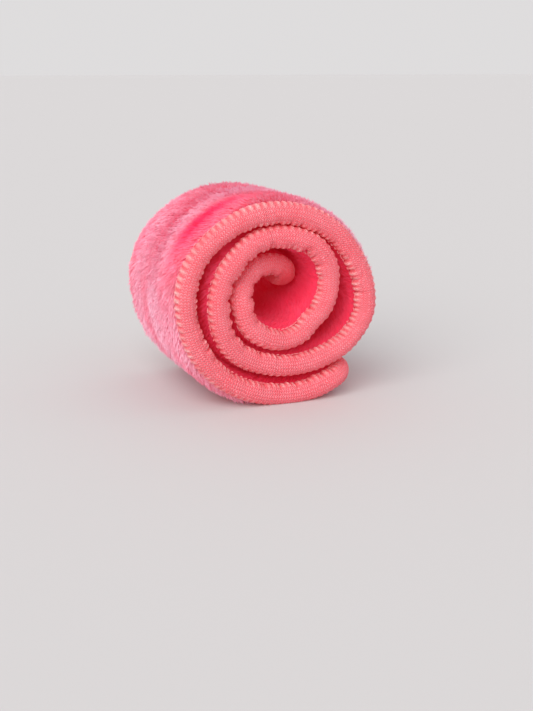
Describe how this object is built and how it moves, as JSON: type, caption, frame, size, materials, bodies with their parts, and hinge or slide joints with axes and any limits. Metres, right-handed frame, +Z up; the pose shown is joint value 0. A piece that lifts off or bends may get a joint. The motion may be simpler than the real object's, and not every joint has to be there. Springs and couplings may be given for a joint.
{
  "type": "spa headband",
  "caption": "Wide plush headband for spa use, edges bound with knitted tape and closed by hook and loop strips, rolled up for the shelf and able to unroll flat.",
  "frame": {"origin": "on the ground, under the middle of the roll's box", "axes": "the roll lies on its side with its axis along Y and its open spiral face at -Y; +Z up; +X towards the outer end of the strip"},
  "size_m": [0.1071, 0.094, 0.1026],
  "materials": {
    "plush": "matte",
    "tape": "matte",
    "hook": "satin",
    "loop": "matte"
  },
  "bodies": {
    "stretch_01": {"plush_01": "plush", "core_end_binding": "tape", "loop_strip_01": "loop"},
    "stretch_02": {"plush_02": "plush", "back_binding_02": "tape", "front_binding_02": "tape", "loop_strip_02": "loop"},
    "stretch_03": {"plush_03": "plush", "back_binding_03": "tape", "front_binding_03": "tape", "loop_strip_03": "loop"},
    "stretch_04": {"plush_04": "plush", "back_binding_04": "tape", "front_binding_04": "tape"},
    "stretch_05": {"plush_05": "plush", "back_binding_05": "tape", "front_binding_05": "tape"},
    "stretch_06": {"plush_06": "plush", "back_binding_06": "tape", "front_binding_06": "tape"},
    "stretch_07": {"plush_07": "plush", "back_binding_07": "tape", "front_binding_07": "tape"},
    "stretch_08": {"plush_08": "plush", "back_binding_08": "tape", "front_binding_08": "tape"},
    "stretch_09": {"plush_09": "plush", "back_binding_09": "tape", "front_binding_09": "tape"},
    "stretch_10": {"plush_10": "plush", "back_binding_10": "tape", "front_binding_10": "tape"},
    "stretch_11": {"plush_11": "plush", "back_binding_11": "tape", "front_binding_11": "tape"},
    "stretch_12": {"plush_12": "plush", "back_binding_12": "tape", "front_binding_12": "tape"},
    "stretch_13": {"plush_13": "plush", "back_binding_13": "tape", "front_binding_13": "tape"},
    "stretch_14": {"plush_14": "plush", "back_binding_14": "tape", "front_binding_14": "tape"},
    "stretch_15": {"plush_15": "plush", "back_binding_15": "tape", "front_binding_15": "tape"},
    "stretch_16": {"plush_16": "plush", "back_binding_16": "tape", "front_binding_16": "tape"},
    "stretch_17": {"plush_17": "plush", "back_binding_17": "tape", "front_binding_17": "tape"},
    "stretch_18": {"plush_18": "plush", "hook_strip": "hook", "outer_end_binding": "tape"}
  },
  "joints": [
    {"name": "hinge_17_18", "type": "hinge", "parent": "stretch_18", "child": "stretch_17", "pos_m": [-0.00732, 0, 0.00558], "axis": [0, -1, 0], "range_deg": [0, 19.14]},
    {"name": "unroll", "type": "hinge", "parent": "stretch_17", "child": "stretch_16", "pos_m": [-0.03882, 0, 0.02536], "axis": [0, -1, 0], "range_deg": [0, 56.64]},
    {"name": "hinge_15_16", "type": "hinge", "parent": "stretch_16", "child": "stretch_15", "pos_m": [-0.04794, 0, 0.06137], "axis": [0, -1, 0], "range_deg": [0, 51.3]},
    {"name": "hinge_14_15", "type": "hinge", "parent": "stretch_15", "child": "stretch_14", "pos_m": [-0.02576, 0, 0.09072], "axis": [0, -1, 0], "range_deg": [0, 44.84]},
    {"name": "hinge_13_14", "type": "hinge", "parent": "stretch_14", "child": "stretch_13", "pos_m": [0.01065, 0, 0.09589], "axis": [0, -1, 0], "range_deg": [0, 44.15]},
    {"name": "hinge_12_13", "type": "hinge", "parent": "stretch_13", "child": "stretch_12", "pos_m": [0.04075, 0, 0.07398], "axis": [0, -1, 0], "range_deg": [0, 48.4]},
    {"name": "hinge_11_12", "type": "hinge", "parent": "stretch_12", "child": "stretch_11", "pos_m": [0.04435, 0, 0.03687], "axis": [0, -1, 0], "range_deg": [0, 66.65]},
    {"name": "hinge_10_11", "type": "hinge", "parent": "stretch_11", "child": "stretch_10", "pos_m": [0.01341, 0, 0.01979], "axis": [0, -1, 0], "range_deg": [0, 39.1]},
    {"name": "hinge_09_10", "type": "hinge", "parent": "stretch_10", "child": "stretch_09", "pos_m": [-0.01756, 0, 0.02537], "axis": [0, -1, 0], "range_deg": [0, 51.36]},
    {"name": "hinge_08_09", "type": "hinge", "parent": "stretch_09", "child": "stretch_08", "pos_m": [-0.03162, 0, 0.05133], "axis": [0, -1, 0], "range_deg": [0, 53.48]},
    {"name": "hinge_07_08", "type": "hinge", "parent": "stretch_08", "child": "stretch_07", "pos_m": [-0.01906, 0, 0.07821], "axis": [0, -1, 0], "range_deg": [0, 54.43]},
    {"name": "hinge_06_07", "type": "hinge", "parent": "stretch_07", "child": "stretch_06", "pos_m": [0.01085, 0, 0.08377], "axis": [0, -1, 0], "range_deg": [0, 66]},
    {"name": "hinge_05_06", "type": "hinge", "parent": "stretch_06", "child": "stretch_05", "pos_m": [0.02766, 0, 0.05933], "axis": [0, -1, 0], "range_deg": [0, 67.23]},
    {"name": "hinge_04_05", "type": "hinge", "parent": "stretch_05", "child": "stretch_04", "pos_m": [0.01297, 0, 0.03644], "axis": [0, -1, 0], "range_deg": [0, 58.89]},
    {"name": "hinge_03_04", "type": "hinge", "parent": "stretch_04", "child": "stretch_03", "pos_m": [-0.01034, 0, 0.03708], "axis": [0, -1, 0], "range_deg": [0, 67.79]},
    {"name": "hinge_02_03", "type": "hinge", "parent": "stretch_03", "child": "stretch_02", "pos_m": [-0.01792, 0, 0.05721], "axis": [0, -1, 0], "range_deg": [0, 73.71]},
    {"name": "hinge_01_02", "type": "hinge", "parent": "stretch_02", "child": "stretch_01", "pos_m": [-0.00084, 0, 0.07005], "axis": [0, -1, 0], "range_deg": [0, 81.67]}
  ],
  "couplings": [
    {"joint": "hinge_17_18", "follows": "unroll", "ratio": 0.3378},
    {"joint": "hinge_15_16", "follows": "unroll", "ratio": 0.90556},
    {"joint": "hinge_14_15", "follows": "unroll", "ratio": 0.79159},
    {"joint": "hinge_13_14", "follows": "unroll", "ratio": 0.77939},
    {"joint": "hinge_12_13", "follows": "unroll", "ratio": 0.8544},
    {"joint": "hinge_11_12", "follows": "unroll", "ratio": 1.1766},
    {"joint": "hinge_10_11", "follows": "unroll", "ratio": 0.69031},
    {"joint": "hinge_09_10", "follows": "unroll", "ratio": 0.90672},
    {"joint": "hinge_08_09", "follows": "unroll", "ratio": 0.94414},
    {"joint": "hinge_07_08", "follows": "unroll", "ratio": 0.96083},
    {"joint": "hinge_06_07", "follows": "unroll", "ratio": 1.1651},
    {"joint": "hinge_05_06", "follows": "unroll", "ratio": 1.1868},
    {"joint": "hinge_04_05", "follows": "unroll", "ratio": 1.0395},
    {"joint": "hinge_03_04", "follows": "unroll", "ratio": 1.1968},
    {"joint": "hinge_02_03", "follows": "unroll", "ratio": 1.3012},
    {"joint": "hinge_01_02", "follows": "unroll", "ratio": 1.4418}
  ]
}
